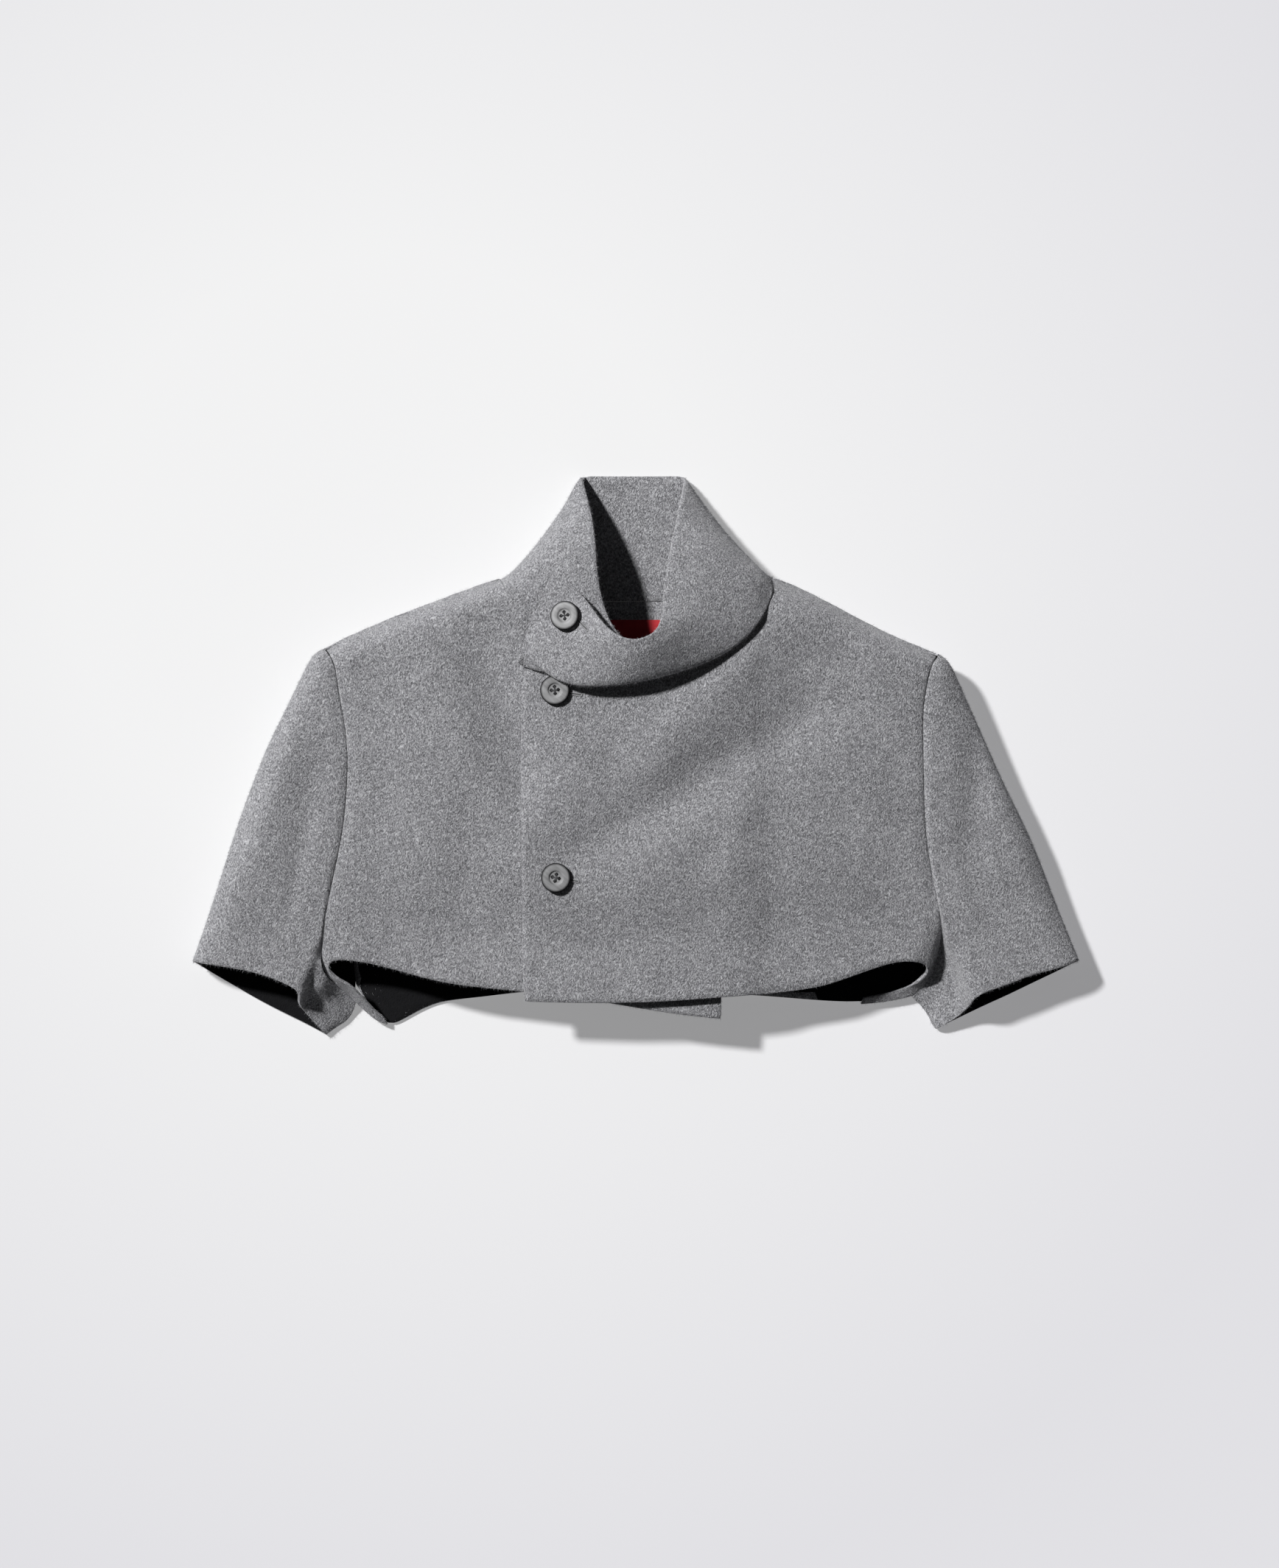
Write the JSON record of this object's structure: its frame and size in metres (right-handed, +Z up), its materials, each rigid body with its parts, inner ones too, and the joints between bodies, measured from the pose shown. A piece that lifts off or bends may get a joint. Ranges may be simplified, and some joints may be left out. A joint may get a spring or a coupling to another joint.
{
  "type": "short coat",
  "caption": "Cropped short-sleeved wool coat laid flat on its back, with a funnel collar that wraps to a buttoned tab and an overlapping buttoned front.",
  "frame": {"origin": "on the floor under the middle of the coat's outline, where its back rests", "axes": "+X towards the wearer's left sleeve, +Y from the hem to the collar, +Z up through the fronts"},
  "size_m": [0.707, 0.4461, 0.0851],
  "materials": {
    "wool": "brushed melange wool coating, soft nap, no gloss",
    "label": "plain woven ribbon",
    "button": "satin, faintly streaked like horn"
  },
  "bodies": {
    "root": {"back": "wool", "front_inner": "wool", "front_outer": "wool", "sleeve_left": "wool", "sleeve_right": "wool", "collar": "wool", "label": "label", "button_tab": "button", "button_front_1": "button", "button_front_2": "button"}
  },
  "joints": []
}
